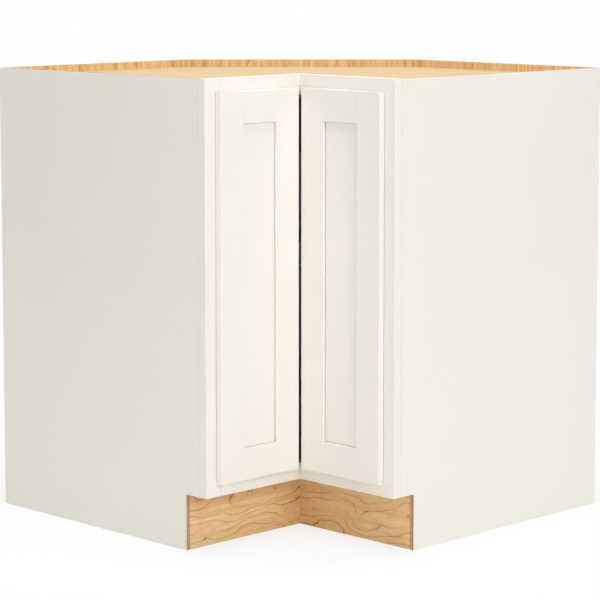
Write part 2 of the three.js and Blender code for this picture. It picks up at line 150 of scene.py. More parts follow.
# Noise that is stretched to the given lengths along, across and through, in the place's own units.
def stretchedNoise(tree, place, lengths, detail=2.0, roughness=0.5):
    scale = tuple(1 / length for length in lengths)
    stretched = addNode(tree, "VectorMath", {0: place, 1: scale}, operation="MULTIPLY")
    inputs = {"Vector": stretched.outputs[0], "Scale": 1.0, "Detail": detail, "Roughness": roughness}
    return addNode(tree, "TexNoise", inputs).outputs[0]


# Noise of one length in mm, in the object's own axes.
def evenNoise(tree, where, length, detail=2.0):
    inputs = {"Vector": where, "Scale": 1 / (length * mm), "Detail": detail}
    return addNode(tree, "TexNoise", inputs).outputs[0]


def boardPlace(tree):
    return addNode(tree, "Attribute", attribute_name="grain").outputs["Vector"]


def objectPlace(tree):
    return addNode(tree, "TexCoord").outputs["Object"]


def newMaterial(name):
    made = bpy.data.materials.new(name)
    made.use_nodes = True
    made.node_tree.nodes.clear()
    return made, made.node_tree


def setSurface(tree, inputs):
    shader = addNode(tree, "BsdfPrincipled", inputs)
    addNode(tree, "OutputMaterial", {"Surface": shader.outputs[0]})


# ringPitch is the mm between growth lines, ringShape the mm along, across and through of a bend in
# them, and ringWarp and ripple say how many lines wide a bend and a kink are. Fleck and mottle say how
# dark the pores are and how uneven the ground is.
woods = {
    # Rotary-cut maple veneer under clear UV varnish: pale gold, with thin red-brown growth lines that
    # wander and close into loops.
    "clearMaple": {
        "light": "fbe2b2", "middle": "e4ab64", "dark": "b4480a", "fleck": 0.92, "mottle": 0.12,
        "ringPitch": 19, "ringWarp": 5.6, "ringShape": (120, 60, 60), "ripple": 0.6, "lineShare": 0.80,
        "roughness": (0.36, 0.50), "shine": 0.5, "bump": 0.10,
    },
    # The same veneer left raw on the deck: paler, dry, hardly any sheen even at a low angle.
    "rawMaple": {
        "light": "d9c298", "middle": "c9a470", "dark": "b7824f", "fleck": 0.94, "mottle": 0.08,
        "ringPitch": 40, "ringWarp": 2.6, "ringShape": (300, 60, 60), "ripple": 0.35, "lineShare": 0.40,
        "roughness": (0.50, 0.62), "shine": 0.35, "bump": 0.15,
    },
    # Varnished maple of the thin back panels: stronger orange streaks up the grain, and a deeper orange
    # that is painted shade and warm bounce light from the deck, under the rim.
    "backMapleWithPaintedShade": {
        "light": "f8dda8", "middle": "d59b50", "dark": "a8601f", "fleck": 0.90, "mottle": 0.12,
        "ringPitch": 30, "ringWarp": 2.4, "ringShape": (260, 60, 60), "ripple": 0.5, "lineShare": 0.55,
        "roughness": (0.50, 0.62), "shine": 0.25, "bump": 0.12,
    },
    # The unvarnished outer face of the back panels: paler, duller, with a broader figure.
    "rawPly": {
        "light": "ecd3a6", "middle": "dcba85", "dark": "ad7d4a", "fleck": 0.90, "mottle": 0.12,
        "ringPitch": 44, "ringWarp": 3.2, "ringShape": (420, 110, 90), "ripple": 0.5, "lineShare": 0.42,
        "roughness": (0.62, 0.78), "shine": 0.3, "bump": 0.22,
    },
    # Sawn softwood of the cleats and blocks: close straight growth lines and a dry surface.
    "sawnPine": {
        "light": "e9d3a8", "middle": "dcbd88", "dark": "b5824b", "fleck": 0.90, "mottle": 0.10,
        "ringPitch": 5.2, "ringWarp": 1.6, "ringShape": (420, 60, 60), "ripple": 0.3, "lineShare": 0.50,
        "roughness": (0.66, 0.82), "shine": 0.3, "bump": 0.35,
    },
}

# What all woods share. Each noise has its lengths in mm along, across and through the board, then
# its detail and roughness; each ramp has its stops.
figure = {
    "bendDetail": 1.5,
    "ripple": ((34, 12, 20), 3.0, 0.5),
    "line": ((0, 0.0), (0.02, 1.0), (0.07, 0.85), (0.11, 0.14), (0.60, 0.0), (1, 0.08)),
    "weight": ((110, 30, 40), 1.0, 0.5),
    "weightRamp": ((0.36, 0.25), (0.56, 1.0)),
    "streak": ((420, 8, 9), 4.0, 0.6),
    "streakRamp": ((0.34, 0.0), (0.68, 1.0)),
    "curl": ((26, 9, 20), 3.0, 0.6),
    "curlShare": 0.5,
    "fleck": ((11, 1.4, 1.4), 2.0, 0.6),
    "fleckRange": (0.30, 0.52),
    "mottle": ((7, 4, 4), 2.0, 0.7),
}


# Growth lines: contours of the distance across the board, bent by slow noise into loops and by quick
# noise into kinks. Each is sharp on one side and fades on the other, and its weight comes and goes.
def growthLines(tree, place, wood):
    across = addNode(tree, "SeparateXYZ", {0: place}).outputs["Y"]
    bend = stretchedNoise(tree, place, wood["ringShape"], figure["bendDetail"])
    ripple = stretchedNoise(tree, place, *figure["ripple"])
    rings = calculate(tree, "DIVIDE", across, wood["ringPitch"])
    rings = calculate(tree, "MULTIPLY_ADD", bend, wood["ringWarp"], rings)
    rings = calculate(tree, "MULTIPLY_ADD", ripple, wood["ripple"], rings)
    line = toRamp(tree, calculate(tree, "FRACT", rings), figure["line"])
    weight = toRamp(tree, stretchedNoise(tree, place, *figure["weight"]), figure["weightRamp"])
    line = calculate(tree, "MULTIPLY", line, weight)
    return calculate(tree, "MULTIPLY", line, wood["lineShare"])


# Broad streaks, crossed by a finer curl.
def woodStreaks(tree, place):
    streak = toRamp(tree, stretchedNoise(tree, place, *figure["streak"]), figure["streakRamp"])
    curl = stretchedNoise(tree, place, *figure["curl"])
    return mixValues(tree, figure["curlShare"], streak, curl)


# Flecks of 1.4 mm that stand for pores too fine to show, on a soft mottle.
def woodFlecks(tree, place, wood):
    start, end = figure["fleckRange"]
    fleck = stretchedNoise(tree, place, *figure["fleck"])
    fleck = toRamp(tree, fleck, ((start, wood["fleck"]), (end, 1.0)))
    mottle = stretchedNoise(tree, place, *figure["mottle"])
    mottle = toRange(tree, mottle, 1 - wood["mottle"], 1 + wood["mottle"])
    return calculate(tree, "MULTIPLY", fleck, mottle)


def makeWood(name):
    wood = woods[name]
    material, tree = newMaterial(name)
    place = boardPlace(tree)
    line = growthLines(tree, place, wood)
    streak = woodStreaks(tree, place)
    fleck = woodFlecks(tree, place, wood)
    ground = mixColours(tree, streak, linear(wood["light"]), linear(wood["middle"]))
    lined = mixColours(tree, line, ground, linear(wood["dark"]))
    relief = calculate(tree, "SUBTRACT", fleck, line)
    setSurface(tree, {
        "Base Color": mixColours(tree, 1.0, lined, fleck, "MULTIPLY"),
        "Roughness": toRange(tree, streak, *wood["roughness"]),
        "Specular IOR Level": wood["shine"],
        "Normal": toBump(tree, relief, wood["bump"]),
    })
    return material


paint = {
    "colour": "f3efe7", "shade": "efebe2",
    "toneLength": 190,  # mm, slow change of the sprayed film
    "peelLength": 1.6,  # mm, orange peel
    "grain": (160, 2.4, 2.4),  # mm along, across and through the maple below
    "grainShade": 0.3, "grainRelief": 0.4,  # the grain's share beside the tone and the peel
    "roughness": (0.34, 0.44), "bump": 0.05,
}


# Satin lacquer sprayed on sanded maple: an even warm white that blurs reflections, with a trace of
# orange peel and of the grain below.
def makePaint():
    material, tree = newMaterial("satinPaint")
    where = objectPlace(tree)
    tone = evenNoise(tree, where, paint["toneLength"])
    peel = evenNoise(tree, where, paint["peelLength"], 1.0)
    grain = stretchedNoise(tree, boardPlace(tree), paint["grain"])
    shade = mixValues(tree, paint["grainShade"], tone, grain)
    relief = mixValues(tree, paint["grainRelief"], peel, grain)
    setSurface(tree, {
        "Base Color": mixColours(tree, shade, linear(paint["colour"]), linear(paint["shade"])),
        "Roughness": toRange(tree, tone, *paint["roughness"]),
        "Normal": toBump(tree, relief, paint["bump"]),
    })
    return material


plyEdge = {
    "veneer": 1.9,  # mm
    "pale": "dcb594", "dark": "b58a6b", "glue": "8d6248", "glueWidth": 0.16,
    "start": 0.25,  # share of a pair of veneers, so a pale one lies in the board's middle
    "wander": (60, 60, 1000), "wanderReach": 0.3,  # mm
    "fibre": ((9, 9, 0.7), 3.0, 0.7), "pits": ((0.30, 0.72), (0.60, 1.0)),
    "roughness": 0.75, "bump": 0.4,
}


# Sawn plywood edge: veneers of 1.9 mm, pale where the fibres run along the edge and darker and
# pitted where their ends show, with thin glue lines between.
def makePlyEdge():
    material, tree = newMaterial("sawnPlyEdge")
    place = boardPlace(tree)
    through = addNode(tree, "SeparateXYZ", {0: place}).outputs["Z"]
    wander = stretchedNoise(tree, place, plyEdge["wander"], 1.0)
    shifted = calculate(tree, "MULTIPLY_ADD", wander, plyEdge["wanderReach"], through)
    pair = 2 * plyEdge["veneer"]
    layers = calculate(tree, "ADD", calculate(tree, "DIVIDE", shifted, pair), plyEdge["start"])
    cycle = calculate(tree, "FRACT", layers)
    endGrain = calculate(tree, "GREATER_THAN", cycle, 0.5)
    fibre = stretchedNoise(tree, place, *plyEdge["fibre"])
    base = mixColours(tree, endGrain, linear(plyEdge["pale"]), linear(plyEdge["dark"]))
    base = mixColours(tree, 1.0, base, toRamp(tree, fibre, plyEdge["pits"]), "MULTIPLY")
    fromGlue = calculate(tree, "PINGPONG", cycle, 0.5)
    glue = calculate(tree, "LESS_THAN", fromGlue, plyEdge["glueWidth"] / pair)
    setSurface(tree, {
        "Base Color": mixColours(tree, glue, base, linear(plyEdge["glue"])),
        "Roughness": plyEdge["roughness"],
        "Normal": toBump(tree, fibre, plyEdge["bump"]),
    })
    return material


# The lines are the lengths in mm of the marks along the object's axes.
metals = {
    # Bright zinc plate on drawn steel tube: grey-blue, with faint lines along the draw.
    "zincTube": {"colour": "c3c6ca", "roughness": (0.22, 0.36), "lines": (0.9, 0.9, 120), "bump": 0.12},
    # Zinc plate on stamped steel: duller, slightly mottled.
    "zincPlate": {"colour": "b9bcbf", "roughness": (0.28, 0.46), "lines": (5, 5, 5), "bump": 0.06},
    # Steel of the fold hinges, coloured dark as painted shade, so the doors' gap reads as shadow and
    # nothing bright shows in it.
    "steelWithPaintedGapShade": {"colour": "6a6865", "roughness": (0.38, 0.52), "lines": (4, 4, 4), "bump": 0.05},
    # Nickel plate on the hinges: warmer and smoother.
    "nickelPlate": {"colour": "cdc9c1", "roughness": (0.18, 0.30), "lines": (3, 3, 3), "bump": 0.03},
}


def makeMetal(name):
    metal = metals[name]
    material, tree = newMaterial(name)
    marks = stretchedNoise(tree, objectPlace(tree), [length * mm for length in metal["lines"]], 3.0)
    setSurface(tree, {
        "Base Color": linear(metal["colour"]),
        "Metallic": 1.0,
        "Roughness": toRange(tree, marks, *metal["roughness"]),
        "Normal": toBump(tree, marks, metal["bump"]),
    })
    return material


plastics = {
    # High-impact polystyrene, moulded with a fine leather grain: soft white, broad dull highlights.
    "mouldedTray": {
        "colour": "f0eee7", "shade": "e9e6de", "flow": 90, "grain": 1.1,  # mm
        "roughness": (0.36, 0.48), "bump": 0.30,
    },
    # Natural nylon: faintly yellow and waxy.
    "naturalNylon": {
        "colour": "e6e2d4", "shade": "ddd8c8", "flow": 90, "grain": 2.0,
        "roughness": (0.40, 0.52), "bump": 0.05,
    },
}


def makePlastic(name):
    plastic = plastics[name]
    material, tree = newMaterial(name)
    where = objectPlace(tree)
    flow = evenNoise(tree, where, plastic["flow"])
    grain = addNode(tree, "TexVoronoi", {"Vector": where, "Scale": 1 / (plastic["grain"] * mm)}).outputs[0]
    setSurface(tree, {
        "Base Color": mixColours(tree, flow, linear(plastic["colour"]), linear(plastic["shade"])),
        "Roughness": toRange(tree, flow, *plastic["roughness"]),
        "Normal": toBump(tree, grain, plastic["bump"], 0.05),
    })
    return material


polyurethane = {
    "colour": "e4e8e6", "cloud": 2,  # mm
    "roughness": (0.15, 0.35), "refraction": 1.48, "clear": 0.7,
}


# Clear polyurethane of the bumpers: soft, slightly cloudy drops.
def makeBumperMaterial():
    material, tree = newMaterial("clearPolyurethane")
    cloud = evenNoise(tree, objectPlace(tree), polyurethane["cloud"])
    setSurface(tree, {
        "Base Color": linear(polyurethane["colour"]),
        "Roughness": toRange(tree, cloud, *polyurethane["roughness"]),
        "IOR": polyurethane["refraction"],
        "Transmission Weight": polyurethane["clear"],
    })
    return material


finishes = {name: makeWood(name) for name in woods}
finishes |= {name: makeMetal(name) for name in metals}
finishes |= {name: makePlastic(name) for name in plastics}
finishes["satinPaint"] = makePaint()
finishes["sawnPlyEdge"] = makePlyEdge()
finishes["clearPolyurethane"] = makeBumperMaterial()
print("materials made:", ", ".join(finishes))


# The right wing of the front and its picture-left twin, the mirror image in the diagonal plane.
wings = {
    "right": np.eye(3),
    "left": np.array([[0, -1, 0], [-1, 0, 0], [0, 0, 1.0]]),
}
along, inward, up = np.eye(3)  # the right wing's length, from its front to the wall, and up
outward = -inward
ends = ("lower", "upper")

boards = {
    "ease": 0.35,  # mm, sanded arrises
    "fineEase": 0.12,  # the same on boards with closed joints
    "backEase": 0.8,  # at the back of a door
    "sharp": 40,  # degrees; edges above this are arrises
    "flat": 1,  # degrees; faces that meet below this are one
    "merge": 0.001,  # mm between points that are one
    "backReach": 0.01,  # mm from a door's back plane for a point that lies in it
    "closing": 0.13,  # mm that glued boards grow on each side, so their joints are hairlines
    "meeting": 0.5,  # mm that the lacquered meeting stiles stand nearer to each other
    "shift": (1730, 410),  # mm from one board's place in the grain to the next one's
    "bored": "door_outer_stile_left",  # the stile with the hinge cups' bores
}

# Finishes of a board's front, back and edges, and its slot.
looks = {
    "side": ("satinPaint", "clearMaple", "sawnPlyEdge", "white_paint"),
    "kick": ("clearMaple", "rawPly", "clearMaple", "maple"),
    # The back panels' inside takes the maple with painted shade and bounce light.
    "back": ("rawPly", "backMapleWithPaintedShade", "sawnPlyEdge", "maple"),
    "floor": ("clearMaple", "rawPly", "sawnPlyEdge", "maple"),
    "deck": ("rawMaple", "clearMaple", "sawnPlyEdge", "maple"),
    "framed": ("satinPaint", "clearMaple", "satinPaint", "white_paint"),
    "lacquered": ("satinPaint", "satinPaint", "satinPaint", "white_paint"),
    "pine": ("sawnPine", "sawnPine", "sawnPine", "raw_wood"),
}


def pointsOf(mesh):
    points = np.empty(3 * len(mesh.vertices))
    mesh.vertices.foreach_get("co", points)
    return points.reshape(-1, 3)


# A board's own run of grain: mm along it, across it and through it, kept on its points. Closing
# moves the points outwards in the board's plane.
def setGrain(mesh, grain, facing, closing=0):
    points = pointsOf(mesh) / mm
    axes = np.stack([grain, np.cross(facing, grain), facing])
    middle = (points.min(0) + points.max(0)) / 2
    run = (points - middle) @ axes.T
    run[:, :2] += np.sign(run[:, :2]) * closing
    mesh.vertices.foreach_set("co", ((run @ axes + middle) * mm).ravel())
    run[:, :2] += len(bpy.data.meshes) * np.array(boards["shift"])
    mesh.attributes.new("grain", "FLOAT_VECTOR", "POINT").data.foreach_set("vector", run.ravel())


# Moves the half of a board on one side of its middle, so the board reaches further that way, or less
# far where the reach is negative.
def widen(mesh, direction, reach):
    points = pointsOf(mesh)
    place = points @ direction
    beyond = place > (place.min() + place.max()) / 2
    mesh.vertices.foreach_set("co", (points + beyond[:, None] * direction * reach * mm).ravel())


# The points in a board's back plane.
def backPoints(work, facing):
    depth = {v: np.dot(v.co, facing) for v in work.verts}
    limit = min(depth.values()) + boards["backReach"] * mm
    return {v for v in work.verts if depth[v] < limit}


# Fills a board's flat back anew from its outline and its bores. The solid's own triangles fold over
# the lower cup's bore.
def refillBack(work, facing):
    back = backPoints(work, facing)
    flat = {f for f in work.faces if back.issuperset(f.verts)}
    rim = [e for e in work.edges if len(flat.intersection(e.link_faces)) == 1]
    bmesh.ops.delete(work, geom=list(flat), context="FACES")
    filled = bmesh.ops.triangle_fill(work, edges=rim, use_beauty=True, normal=tuple(-facing))["geom"]
    faces = [f for f in filled if isinstance(f, bmesh.types.BMFace)]
    bmesh.ops.reverse_faces(work, faces=[f for f in faces if np.dot(f.normal, facing) > 0])


def mergeFlat(work):
    limit = math.radians(boards["flat"])
    bmesh.ops.dissolve_limit(work, angle_limit=limit, verts=work.verts, edges=work.edges)


# Rounds those of the given edges that are arrises.
def roundArrises(work, edges, radius, segments):
    limit = math.radians(boards["sharp"])
    arrises = [e for e in edges if e.is_manifold and e.calc_face_angle() > limit]
    bmesh.ops.bevel(work, geom=arrises, offset=radius * mm, segments=segments, profile=0.5,
                    affect="EDGES", clamp_overlap=True)


# Rounds the arrises at a door's back, so the door throws a crisp line of shade on the frame.
def roundBack(work, facing):
    back = backPoints(work, facing)
    roundArrises(work, [e for e in work.edges if back.issuperset(e.verts)], boards["backEase"], 3)


# A merged copy of a solid with its arrises eased by a small round.
def easedCopy(node, ease, facing=None):
    work = bmesh.new()
    work.from_mesh(frame["nodes"][node].data)
    bmesh.ops.remove_doubles(work, verts=work.verts, dist=boards["merge"] * mm)
    if node == boards["bored"]:
        refillBack(work, facing)
    mergeFlat(work)
    if node.startswith("door_"):
        roundBack(work, facing)
        mergeFlat(work)
    roundArrises(work, work.edges, ease, 2)
    mesh = bpy.data.meshes.new(node + "_finished")
    work.to_mesh(mesh)
    work.free()
    return mesh


# A mesh as a piece of the scene that rides on a body and replaces the given nodes.
def placePiece(mesh, body, nodes=()):
    piece = bpy.data.objects.new(mesh.name, mesh)
    bpy.context.scene.collection.objects.link(piece)
    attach(piece, body)
    if nodes:
        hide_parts(*nodes)


# The copy takes its solid's place, on the same body.
def placeCopy(node, mesh):
    placePiece(mesh, frame["nodes"][node]["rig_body"], [node])


# A board's finished look: a merged copy of its solid with eased arrises, its own run of grain, and
# finishes for its front, its back and its edges.
def dressBoard(node, look, grain, facing, closing=0):
    mesh = easedCopy(node, boards["fineEase"] if closing else boards["ease"], facing)
    *boardFinishes, slot = looks[look]
    for finish in boardFinishes:
        mesh.materials.append(finishes[finish])

    normals = np.empty(3 * len(mesh.polygons))
    mesh.polygons.foreach_get("normal", normals)
    towards = normals.reshape(-1, 3) @ facing
    index = np.where(towards > 0.5, 0, np.where(towards < -0.5, 1, 2))
    mesh.polygons.foreach_set("material_index", index.astype(np.int32))

    setGrain(mesh, grain, facing, closing)
    placeCopy(node, mesh)
    return mesh


def dressCarcass():
    diagonal = (along + inward) / math.sqrt(2)
    backOfCorner = (inward - along) / math.sqrt(2)
    for side, turn in wings.items():
        lengthwise, facing = turn @ along, turn @ outward
        dressBoard(f"side_panel_{side}", "side", up, lengthwise)
        dressBoard(f"kick_board_{side}", "kick", lengthwise, facing, boards["closing"])
        dressBoard(f"back_panel_{side}", "back", up, -facing)
        for place in ("floor", "deck"):
            dressBoard(f"{place}_cleat_{side}", "pine", lengthwise, -facing)
    dressBoard("back_panel_corner", "back", up, backOfCorner)
    for place in ("floor", "deck"):
        dressBoard(f"{place}_cleat_corner", "pine", diagonal, backOfCorner)
    dressBoard("bottom_panel", "floor", diagonal, up)
    dressBoard("top_panel", "deck", diagonal, up)
    for block in ("corner_block_top", "corner_block_bottom"):
        dressBoard(block, "pine", along, up)


def dressFront():
    closing = boards["closing"]
    for side, turn in wings.items():
        lengthwise, facing = turn @ along, turn @ outward
        dressBoard(f"stile_{side}", "framed", up, facing, closing)
        for rail in ("top_rail", "bottom_rail"):
            framed = dressBoard(f"{rail}_{side}", "framed", lengthwise, facing, closing)
            widen(framed, -lengthwise, -closing)  # back again at the mitre, which stays open
            dressBoard(f"door_{rail}_{side}", "lacquered", lengthwise, facing, closing)
        meeting = dressBoard(f"door_inner_stile_{side}", "lacquered", up, facing, closing)
        widen(meeting, -lengthwise, boards["meeting"])
        dressBoard(f"door_outer_stile_{side}", "lacquered", up, facing, closing)


dressCarcass()
dressFront()
print("boards dressed")


# Quads between closed rings of points in a stack, which closes on itself too if asked.
def ringFaces(stack, around, closedStack=False):
    ring = np.arange(stack if closedStack else stack - 1)[:, None] * around
    nextRing = (ring + around) % (stack * around)
    place = np.arange(around)
    nextPlace = (place + 1) % around
    quads = [ring + place, ring + nextPlace, nextRing + nextPlace, nextRing + place]
    return np.stack(quads, -1).reshape(-1, 4)


# A loft: closed rings of points in a stack, with a flat cap at each end.
def lofted(rings):
    stack, around, _ = rings.shape
    caps = [list(range(around))[::-1], list(range((stack - 1) * around, stack * around))]
    return rings.reshape(-1, 3), ringFaces(stack, around).tolist() + caps


# A turned form: a closed loop of radius and height, carried once round the Z axis.
def turnedForm(loop, steps):
    angle = np.linspace(0, 2 * math.pi, steps, endpoint=False)[:, None]
    radius, height = np.asarray(loop, float).T
    points = np.stack([radius * np.cos(angle), radius * np.sin(angle), height + 0 * angle], -1)
    faces = ringFaces(steps, len(radius), closedStack=True)[:, [0, 3, 2, 1]]
    return points.reshape(-1, 3), faces.tolist()


# Points of an arc about a centre, from one angle to another in degrees.
def arc(centre, radius, start, stop, steps=6):
    angle = np.radians(np.linspace(start, stop, steps))[:, None]
    return np.asarray(centre) + radius * np.hstack([np.cos(angle), np.sin(angle)])


# Several forms as one, each with its own axes (columns) and origin in mm.
def gathered(parts):
    points, faces, start = [], [], 0
    for (shape, shapeFaces), axes, origin in parts:
        flip = np.linalg.det(axes) < 0
        points.append(shape @ np.asarray(axes).T + origin)
        faces += [[start + i for i in (face[::-1] if flip else face)] for face in shapeFaces]
        start += len(shape)
    return np.vstack(points), faces


formMerge = 0.0005  # mm between points that are one
smoothBelow = 35  # degrees between faces that shade as one surface


def shadeSmooth(mesh):
    mesh.shade_smooth()
    mesh.set_sharp_from_angle(angle=math.radians(smoothBelow))


def addPiece(name, form, finish, body, nodes=()):
    points, faces = form
    mesh = bpy.data.meshes.new(name)
    mesh.from_pydata(points * mm, [], faces)
    work = bmesh.new()
    work.from_mesh(mesh)
    bmesh.ops.remove_doubles(work, verts=work.verts, dist=formMerge * mm)
    bmesh.ops.delete(work, geom=[e for e in work.edges if not e.link_faces], context="EDGES")
    work.to_mesh(mesh)
    work.free()
    shadeSmooth(mesh)
    mesh.materials.append(finishes[finish])
    placePiece(mesh, body, nodes)
    return mesh


def boxOf(node):
    low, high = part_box(node)
    return np.array(low) / mm, np.array(high) / mm


# A round node's outer radius and height, and the middle of its foot.
def roundBox(node):
    low, high = boxOf(node)
    middle = (low + high) / 2
    return (high[0] - low[0]) / 2, high[2] - low[2], np.array([middle[0], middle[1], low[2]])


panel = {
    "channelWidth": 0.9,  # mm, the quirk between the field and the frame, a thin shadow line
    "channelDepth": 1.2,
    "slope": 0.15,
}


# Both door panels: a plate held in the grooves, with a field that stands forward of a quirk.
def makeDoorPanels():
    low, high = boxOf("door_panel_right")
    opening = np.array([
        (boxOf("door_inner_stile_right")[1][0], boxOf("door_bottom_rail_right")[1][2]),
        (boxOf("door_outer_stile_right")[0][0], boxOf("door_top_rail_right")[0][2]),
    ])
    plate = np.array([low[[0, 2]], high[[0, 2]]])
    inset = np.array([[1.0], [-1.0]])
    quirk = opening + inset * panel["channelWidth"]
    field = quirk + inset * panel["slope"]
    bed = low[1] + panel["channelDepth"]
    rings = []
    for corners, y in ((plate, high[1]), (plate, bed), (quirk, bed), (field, low[1])):
        (left, foot), (right, head) = corners
        rings.append([(left, y, foot), (right, y, foot), (right, y, head), (left, y, head)])
    form = lofted(np.array(rings))
    for side, turn in wings.items():
        node = f"door_panel_{side}"
        mesh = addPiece(node + "_finished", gathered([(form, turn, 0)]), "satinPaint", f"door_{side}",
                        [node])
        mesh.shade_flat()
        setGrain(mesh, up, turn @ outward)


makeDoorPanels()
print("door panels made")


straight = np.eye(3)  # axes of a form that keeps its own
tray = {
    "wall": 2.8, "floor": 3.0, "lip": 6.0, "draft": 4.0, "fillet": 6.0,  # mm
    "lipDraft": 0.6,
    "hubRadius": 24.0, "hubRise": 8.0, "bore": 13.0, "hubDepth": 30.0,
    "hubFootDraft": 1.5, "hubHeadDraft": 1.0,
    "ribs": 12, "ribThickness": 2.6, "ribAtHub": 18.0, "ribAtRim": 5.0,
    "ribTaper": 0.8,  # share of the thickness at its lower edge
    "ribRoot": 1,  # mm that a rib reaches into the floor
    "ringRadius": 140.0, "ringDepth": 11.5,
    "treads": (190, 150, 110, 70), "treadHeight": 0.5, "treadWidth": 3.0,  # low ridges that hold tins
    "treadSteps": 7, "arcSteps": 8, "hubArcSteps": 6, "steps": 192,
}


# Low ridges on the tray's floor, from the outermost in: the rise is a cosine squared.
def trayTreads():
    halfWidth = tray["treadWidth"] / 2
    swell = np.linspace(halfWidth, -halfWidth, tray["treadSteps"])
    rise = tray["treadHeight"] * np.cos(swell / halfWidth * math.pi / 2) ** 2
    return [np.stack([radius + swell, tray["floor"] + rise], -1) for radius in tray["treads"]]


# The tray's section as a closed loop of radius and height: from the bore's foot out under the floor
# to the lip, and back in over the floor.
def trayLoop(outer, top):
    rimTop = outer - tray["lip"]
    rimFoot = rimTop - tray["draft"]
    fillet, wall, floor, steps = tray["fillet"], tray["wall"], tray["floor"], tray["arcSteps"]
    hub, hubFoot, hubTop = tray["hubRadius"], -tray["hubDepth"], floor + tray["hubRise"]
    ringInner = tray["ringRadius"] - tray["ribThickness"] / 2
    ringOuter = tray["ringRadius"] + tray["ribThickness"] / 2
    return np.vstack([
        [(tray["bore"], hubFoot), (hub - tray["hubFootDraft"], hubFoot), (hub, 0)],
        [(ringInner, 0), (ringInner, -tray["ringDepth"]), (ringOuter, -tray["ringDepth"]), (ringOuter, 0)],
        arc((rimFoot - fillet, fillet), fillet, -90, -6, steps),
        [(rimTop, top - tray["lip"]), (outer - tray["lipDraft"], top - tray["lip"])],
        arc((outer - wall, top - wall), wall, 0, 90, steps),
        arc((rimTop - wall / 2, top - wall), wall, 100, 172, steps),
        arc((rimFoot - wall - fillet, floor + fillet), fillet, 0, -90, steps),
        *trayTreads(),
        arc((hub + fillet, floor + fillet), fillet, 270, 180, tray["hubArcSteps"]),
        [(hub - tray["hubHeadDraft"], hubTop), (tray["bore"], hubTop)],
    ])


# One tapering rib along X, from within the hub to the given reach.
def trayRib(stop):
    wide = tray["ribThickness"] / 2
    narrow = wide * tray["ribTaper"]
    root = tray["ribRoot"]
    start = tray["hubRadius"] - tray["hubFootDraft"]
    sections = []
    for reach, depth in ((start, tray["ribAtHub"]), (stop, tray["ribAtRim"])):
        sections.append([(reach, wide, root), (reach, narrow, -depth), (reach, -narrow, -depth),
                         (reach, -wide, root)])
    return lofted(np.array(sections, float))


# A tray: hub, floor, leaning rim and rolled lip in one turned profile, and the ribs below.
def makeTray(name):
    outer, tall, foot = roundBox(name)
    middle = foot + [0, 0, tray["hubDepth"]]
    parts = [(turnedForm(trayLoop(outer, tall - tray["hubDepth"]), tray["steps"]), straight, middle)]
    rib = trayRib(outer - tray["lip"] - tray["draft"] - tray["fillet"])
    for number in range(tray["ribs"]):
        angle = (number + 0.5) * 2 * math.pi / tray["ribs"]
        c, s = math.cos(angle), math.sin(angle)
        parts.append((rib, np.array([[c, -s, 0], [s, c, 0], [0, 0, 1]]), middle))
    addPiece(name + "_finished", gathered(parts), "mouldedTray", "carousel", [name])


pole = {"wall": 1.6, "chamfer": 0.5, "thrustBore": 6.6, "steps": 72}  # mm
bush = {"bore": 6.3, "flange": 1.5, "spigotGap": 1.9, "chamfer": 0.4}


# A turned ring from a node's own box: its height, outside and the given bore, with small chamfers.
def makeRing(node, bore, finish, body):
    outer, tall, foot = roundBox(node)
    cut = pole["chamfer"]
    loop = [(bore + cut, 0), (outer - cut, 0), (outer, cut), (outer, tall - cut),
            (outer - cut, tall), (bore + cut, tall), (bore, tall - cut), (bore, cut)]
    form = gathered([(turnedForm(loop, pole["steps"]), straight, foot)])
    addPiece(node + "_finished", form, finish, body, [node])


# A flanged bush: the lower one stands on its flange, the upper one is turned over.
def makeBush(node, turnedOver):
    outer, tall, foot = roundBox(node)
    spigot = outer - bush["spigotGap"]
    bore, flange, cut = bush["bore"], bush["flange"], bush["chamfer"]
    loop = [(bore, 0), (outer - cut, 0), (outer, cut), (outer, flange), (spigot, flange),
            (spigot, tall - 2 * cut), (spigot - cut, tall), (bore, tall)]
    axes = np.diag([1, 1, -1.0 if turnedOver else 1])
    origin = foot + [0, 0, tall if turnedOver else 0]
    form = gathered([(turnedForm(loop, pole["steps"]), axes, origin)])
    addPiece(node + "_finished", form, "naturalNylon", "carousel", [node])


def makeCarousel():
    for end in ends:
        makeTray(f"tray_{end}")
    makeRing("pole", roundBox("pole")[0] - pole["wall"], "zincTube", "carousel")
    makeRing("thrust_ring", pole["thrustBore"], "naturalNylon", "cabinet")
    makeBush("pole_bush_lower", False)
    makeBush("pole_bush_upper", True)


makeCarousel()
print("carousel made")


screw = {
    "radius": 3.3, "height": 1.25,  # mm
    "rim": (0, 0.25, 0.35),  # shares of the height: the foot, the flank's top and the crown's edge
    "roundness": 2.4,  # power of the crown's fall towards its edge
    "crossWidth": 1.0, "crossLength": 3.2, "crossDepth": 0.95,
    "flank": 0.18, "end": 0.25,  # mm over which the recess falls at its arms' sides and ends
    "around": 32, "rings": 15, "innermost": 0.03,
}


# A pan head with a cross recess: rings from the edge in over the crown, which falls with a power of
# the radius, and is sunk where the cross lies.
def screwHead(scale=1.0):
    radius, height = screw["radius"] * scale, screw["height"] * scale
    foot, flank, edge = screw["rim"]
    share = np.linspace(1, screw["innermost"], screw["rings"])
    reach = np.concatenate([[1, 1], share]) * radius
    crown = edge + (1 - edge) * (1 - share ** screw["roundness"])
    dome = np.concatenate([[foot, flank], crown]) * height
    angle = np.linspace(0, 2 * math.pi, screw["around"], endpoint=False)
    x, y = reach[:, None] * np.cos(angle), reach[:, None] * np.sin(angle)
    near, far = np.minimum(abs(x), abs(y)), np.maximum(abs(x), abs(y))
    arm = np.clip((screw["crossWidth"] * scale / 2 - near) / screw["flank"] + 0.5, 0, 1)
    end = np.clip((screw["crossLength"] * scale / 2 - far) / screw["end"] + 0.5, 0, 1)
    z = dome[:, None] - screw["crossDepth"] * scale * arm * end
    return lofted(np.stack([x, y, z], -1))


